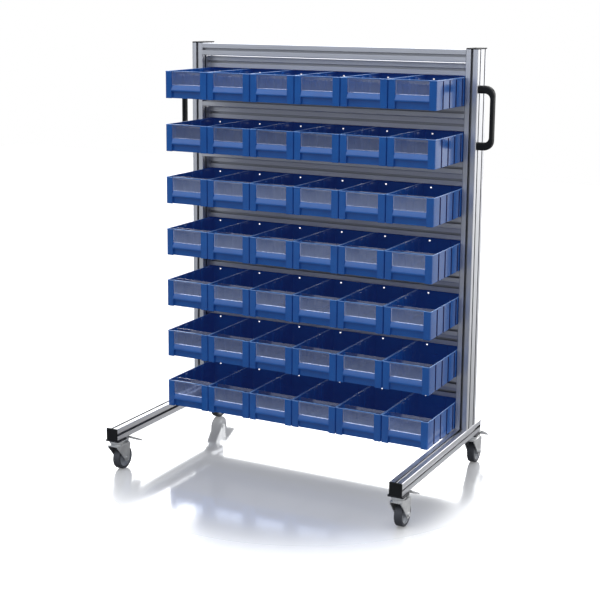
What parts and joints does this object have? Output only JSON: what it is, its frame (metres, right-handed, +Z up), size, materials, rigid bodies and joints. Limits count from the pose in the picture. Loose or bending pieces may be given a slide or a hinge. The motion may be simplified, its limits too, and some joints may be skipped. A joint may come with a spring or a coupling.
{
  "type": "mobile bin cart",
  "caption": "Wheeled cart of slotted profiles whose rails carry rows of open plastic bins with clear front windows and dividers.",
  "frame": {"origin": "on the floor under the middle of the whole cart", "axes": "+X to the right as seen from the bins, +Y to the back, +Z up"},
  "size_m": [1.12, 0.7484, 1.356],
  "materials": {
    "profile": "satin natural",
    "black_plastic": "fine matt",
    "dark_steel": "dark satin",
    "bin_blue": "semi gloss moulded",
    "zinc": "matt galvanised",
    "tread": "matt"
  },
  "bodies": {
    "frame": {"side_frame_left": "profile", "side_frame_right": "profile", "crossbars": "profile", "caps_and_screws": "black_plastic", "handles": "black_plastic", "caster_plates": "dark_steel"},
    "bin_r1_c1": {"bin_r1_c1": "bin_blue"},
    "bin_r1_c2": {"bin_r1_c2": "bin_blue"},
    "bin_r1_c3": {"bin_r1_c3": "bin_blue"},
    "bin_r1_c4": {"bin_r1_c4": "bin_blue"},
    "bin_r1_c5": {"bin_r1_c5": "bin_blue"},
    "bin_r1_c6": {"bin_r1_c6": "bin_blue"},
    "bin_r2_c1": {"bin_r2_c1": "bin_blue"},
    "bin_r2_c2": {"bin_r2_c2": "bin_blue"},
    "bin_r2_c3": {"bin_r2_c3": "bin_blue"},
    "bin_r2_c4": {"bin_r2_c4": "bin_blue"},
    "bin_r2_c5": {"bin_r2_c5": "bin_blue"},
    "bin_r2_c6": {"bin_r2_c6": "bin_blue"},
    "bin_r3_c1": {"bin_r3_c1": "bin_blue"},
    "bin_r3_c2": {"bin_r3_c2": "bin_blue"},
    "bin_r3_c3": {"bin_r3_c3": "bin_blue"},
    "bin_r3_c4": {"bin_r3_c4": "bin_blue"},
    "bin_r3_c5": {"bin_r3_c5": "bin_blue"},
    "bin_r3_c6": {"bin_r3_c6": "bin_blue"},
    "bin_r4_c1": {"bin_r4_c1": "bin_blue"},
    "bin_r4_c2": {"bin_r4_c2": "bin_blue"},
    "bin_r4_c3": {"bin_r4_c3": "bin_blue"},
    "bin_r4_c4": {"bin_r4_c4": "bin_blue"},
    "bin_r4_c5": {"bin_r4_c5": "bin_blue"},
    "bin_r4_c6": {"bin_r4_c6": "bin_blue"},
    "bin_r5_c1": {"bin_r5_c1": "bin_blue"},
    "bin_r5_c2": {"bin_r5_c2": "bin_blue"},
    "bin_r5_c3": {"bin_r5_c3": "bin_blue"},
    "bin_r5_c4": {"bin_r5_c4": "bin_blue"},
    "bin_r5_c5": {"bin_r5_c5": "bin_blue"},
    "bin_r5_c6": {"bin_r5_c6": "bin_blue"},
    "bin_r6_c1": {"bin_r6_c1": "bin_blue"},
    "bin_r6_c2": {"bin_r6_c2": "bin_blue"},
    "bin_r6_c3": {"bin_r6_c3": "bin_blue"},
    "bin_r6_c4": {"bin_r6_c4": "bin_blue"},
    "bin_r6_c5": {"bin_r6_c5": "bin_blue"},
    "bin_r6_c6": {"bin_r6_c6": "bin_blue"},
    "bin_r7_c1": {"bin_r7_c1": "bin_blue"},
    "bin_r7_c2": {"bin_r7_c2": "bin_blue"},
    "bin_r7_c3": {"bin_r7_c3": "bin_blue"},
    "bin_r7_c4": {"bin_r7_c4": "bin_blue"},
    "bin_r7_c5": {"bin_r7_c5": "bin_blue"},
    "bin_r7_c6": {"bin_r7_c6": "bin_blue"},
    "fork_front_left": {"fork_front_left": "zinc"},
    "wheel_front_left": {"wheel_front_left": "tread"},
    "brake_lever_front_left": {"brake_lever_front_left": "zinc"},
    "fork_front_right": {"fork_front_right": "zinc"},
    "wheel_front_right": {"wheel_front_right": "tread"},
    "brake_lever_front_right": {"brake_lever_front_right": "zinc"},
    "fork_rear_left": {"fork_rear_left": "zinc"},
    "wheel_rear_left": {"wheel_rear_left": "tread"},
    "brake_lever_rear_left": {"brake_lever_rear_left": "zinc"},
    "fork_rear_right": {"fork_rear_right": "zinc"},
    "wheel_rear_right": {"wheel_rear_right": "tread"},
    "brake_lever_rear_right": {"brake_lever_rear_right": "zinc"}
  },
  "joints": [
    {"name": "swivel_front_left", "type": "hinge", "parent": "frame", "child": "fork_front_left", "pos_m": [-0.49, -0.34925, 0.095], "axis": [0, 0, 1], "continuous": true},
    {"name": "wheel_spin_front_left", "type": "hinge", "parent": "fork_front_left", "child": "wheel_front_left", "pos_m": [-0.49, -0.31725, 0.0375], "axis": [1, 0, 0], "continuous": true},
    {"name": "brake_press_front_left", "type": "hinge", "parent": "fork_front_left", "child": "brake_lever_front_left", "pos_m": [-0.49, -0.30325, 0.083], "axis": [-1, 0, 0], "range_deg": [0, 18]},
    {"name": "swivel_front_right", "type": "hinge", "parent": "frame", "child": "fork_front_right", "pos_m": [0.49, -0.34925, 0.095], "axis": [0, 0, 1], "continuous": true},
    {"name": "wheel_spin_front_right", "type": "hinge", "parent": "fork_front_right", "child": "wheel_front_right", "pos_m": [0.49, -0.31725, 0.0375], "axis": [1, 0, 0], "continuous": true},
    {"name": "brake_press_front_right", "type": "hinge", "parent": "fork_front_right", "child": "brake_lever_front_right", "pos_m": [0.49, -0.30325, 0.083], "axis": [-1, 0, 0], "range_deg": [0, 18]},
    {"name": "swivel_rear_left", "type": "hinge", "parent": "frame", "child": "fork_rear_left", "pos_m": [-0.49, 0.25375, 0.095], "axis": [0, 0, 1], "continuous": true},
    {"name": "wheel_spin_rear_left", "type": "hinge", "parent": "fork_rear_left", "child": "wheel_rear_left", "pos_m": [-0.49, 0.28575, 0.0375], "axis": [1, 0, 0], "continuous": true},
    {"name": "brake_press_rear_left", "type": "hinge", "parent": "fork_rear_left", "child": "brake_lever_rear_left", "pos_m": [-0.49, 0.29975, 0.083], "axis": [-1, 0, 0], "range_deg": [0, 18]},
    {"name": "swivel_rear_right", "type": "hinge", "parent": "frame", "child": "fork_rear_right", "pos_m": [0.49, 0.25375, 0.095], "axis": [0, 0, 1], "continuous": true},
    {"name": "wheel_spin_rear_right", "type": "hinge", "parent": "fork_rear_right", "child": "wheel_rear_right", "pos_m": [0.49, 0.28575, 0.0375], "axis": [1, 0, 0], "continuous": true},
    {"name": "brake_press_rear_right", "type": "hinge", "parent": "fork_rear_right", "child": "brake_lever_rear_right", "pos_m": [0.49, 0.29975, 0.083], "axis": [-1, 0, 0], "range_deg": [0, 18]},
    {"name": "bin_r1_c1_slide", "type": "slide", "parent": "frame", "child": "bin_r1_c1", "axis": [0, -1, 0], "range_m": [0, 0.04]},
    {"name": "bin_r1_c2_slide", "type": "slide", "parent": "frame", "child": "bin_r1_c2", "axis": [0, -1, 0], "range_m": [0, 0.04]},
    {"name": "bin_r1_c3_slide", "type": "slide", "parent": "frame", "child": "bin_r1_c3", "axis": [0, -1, 0], "range_m": [0, 0.04]},
    {"name": "bin_r1_c4_slide", "type": "slide", "parent": "frame", "child": "bin_r1_c4", "axis": [0, -1, 0], "range_m": [0, 0.04]},
    {"name": "bin_r1_c5_slide", "type": "slide", "parent": "frame", "child": "bin_r1_c5", "axis": [0, -1, 0], "range_m": [0, 0.04]},
    {"name": "bin_r1_c6_slide", "type": "slide", "parent": "frame", "child": "bin_r1_c6", "axis": [0, -1, 0], "range_m": [0, 0.04]},
    {"name": "bin_r2_c1_slide", "type": "slide", "parent": "frame", "child": "bin_r2_c1", "axis": [0, -1, 0], "range_m": [0, 0.04]},
    {"name": "bin_r2_c2_slide", "type": "slide", "parent": "frame", "child": "bin_r2_c2", "axis": [0, -1, 0], "range_m": [0, 0.04]},
    {"name": "bin_r2_c3_slide", "type": "slide", "parent": "frame", "child": "bin_r2_c3", "axis": [0, -1, 0], "range_m": [0, 0.04]},
    {"name": "bin_r2_c4_slide", "type": "slide", "parent": "frame", "child": "bin_r2_c4", "axis": [0, -1, 0], "range_m": [0, 0.04]},
    {"name": "bin_r2_c5_slide", "type": "slide", "parent": "frame", "child": "bin_r2_c5", "axis": [0, -1, 0], "range_m": [0, 0.04]},
    {"name": "bin_r2_c6_slide", "type": "slide", "parent": "frame", "child": "bin_r2_c6", "axis": [0, -1, 0], "range_m": [0, 0.04]},
    {"name": "bin_r3_c1_slide", "type": "slide", "parent": "frame", "child": "bin_r3_c1", "axis": [0, -1, 0], "range_m": [0, 0.04]},
    {"name": "bin_r3_c2_slide", "type": "slide", "parent": "frame", "child": "bin_r3_c2", "axis": [0, -1, 0], "range_m": [0, 0.04]},
    {"name": "bin_r3_c3_slide", "type": "slide", "parent": "frame", "child": "bin_r3_c3", "axis": [0, -1, 0], "range_m": [0, 0.04]},
    {"name": "bin_r3_c4_slide", "type": "slide", "parent": "frame", "child": "bin_r3_c4", "axis": [0, -1, 0], "range_m": [0, 0.04]},
    {"name": "bin_r3_c5_slide", "type": "slide", "parent": "frame", "child": "bin_r3_c5", "axis": [0, -1, 0], "range_m": [0, 0.04]},
    {"name": "bin_r3_c6_slide", "type": "slide", "parent": "frame", "child": "bin_r3_c6", "axis": [0, -1, 0], "range_m": [0, 0.04]},
    {"name": "bin_r4_c1_slide", "type": "slide", "parent": "frame", "child": "bin_r4_c1", "axis": [0, -1, 0], "range_m": [0, 0.04]},
    {"name": "bin_r4_c2_slide", "type": "slide", "parent": "frame", "child": "bin_r4_c2", "axis": [0, -1, 0], "range_m": [0, 0.04]},
    {"name": "bin_r4_c3_slide", "type": "slide", "parent": "frame", "child": "bin_r4_c3", "axis": [0, -1, 0], "range_m": [0, 0.04]},
    {"name": "bin_r4_c4_slide", "type": "slide", "parent": "frame", "child": "bin_r4_c4", "axis": [0, -1, 0], "range_m": [0, 0.04]},
    {"name": "bin_r4_c5_slide", "type": "slide", "parent": "frame", "child": "bin_r4_c5", "axis": [0, -1, 0], "range_m": [0, 0.04]},
    {"name": "bin_r4_c6_slide", "type": "slide", "parent": "frame", "child": "bin_r4_c6", "axis": [0, -1, 0], "range_m": [0, 0.04]},
    {"name": "bin_r5_c1_slide", "type": "slide", "parent": "frame", "child": "bin_r5_c1", "axis": [0, -1, 0], "range_m": [0, 0.04]},
    {"name": "bin_r5_c2_slide", "type": "slide", "parent": "frame", "child": "bin_r5_c2", "axis": [0, -1, 0], "range_m": [0, 0.04]},
    {"name": "bin_r5_c3_slide", "type": "slide", "parent": "frame", "child": "bin_r5_c3", "axis": [0, -1, 0], "range_m": [0, 0.04]},
    {"name": "bin_r5_c4_slide", "type": "slide", "parent": "frame", "child": "bin_r5_c4", "axis": [0, -1, 0], "range_m": [0, 0.04]},
    {"name": "bin_r5_c5_slide", "type": "slide", "parent": "frame", "child": "bin_r5_c5", "axis": [0, -1, 0], "range_m": [0, 0.04]},
    {"name": "bin_r5_c6_slide", "type": "slide", "parent": "frame", "child": "bin_r5_c6", "axis": [0, -1, 0], "range_m": [0, 0.04]},
    {"name": "bin_r6_c1_slide", "type": "slide", "parent": "frame", "child": "bin_r6_c1", "axis": [0, -1, 0], "range_m": [0, 0.04]},
    {"name": "bin_r6_c2_slide", "type": "slide", "parent": "frame", "child": "bin_r6_c2", "axis": [0, -1, 0], "range_m": [0, 0.04]},
    {"name": "bin_r6_c3_slide", "type": "slide", "parent": "frame", "child": "bin_r6_c3", "axis": [0, -1, 0], "range_m": [0, 0.04]},
    {"name": "bin_r6_c4_slide", "type": "slide", "parent": "frame", "child": "bin_r6_c4", "axis": [0, -1, 0], "range_m": [0, 0.04]},
    {"name": "bin_r6_c5_slide", "type": "slide", "parent": "frame", "child": "bin_r6_c5", "axis": [0, -1, 0], "range_m": [0, 0.04]},
    {"name": "bin_r6_c6_slide", "type": "slide", "parent": "frame", "child": "bin_r6_c6", "axis": [0, -1, 0], "range_m": [0, 0.04]},
    {"name": "bin_r7_c1_slide", "type": "slide", "parent": "frame", "child": "bin_r7_c1", "axis": [0, -1, 0], "range_m": [0, 0.04]},
    {"name": "bin_r7_c2_slide", "type": "slide", "parent": "frame", "child": "bin_r7_c2", "axis": [0, -1, 0], "range_m": [0, 0.04]},
    {"name": "bin_r7_c3_slide", "type": "slide", "parent": "frame", "child": "bin_r7_c3", "axis": [0, -1, 0], "range_m": [0, 0.04]},
    {"name": "bin_r7_c4_slide", "type": "slide", "parent": "frame", "child": "bin_r7_c4", "axis": [0, -1, 0], "range_m": [0, 0.04]},
    {"name": "bin_r7_c5_slide", "type": "slide", "parent": "frame", "child": "bin_r7_c5", "axis": [0, -1, 0], "range_m": [0, 0.04]},
    {"name": "bin_r7_c6_slide", "type": "slide", "parent": "frame", "child": "bin_r7_c6", "axis": [0, -1, 0], "range_m": [0, 0.04]}
  ]
}
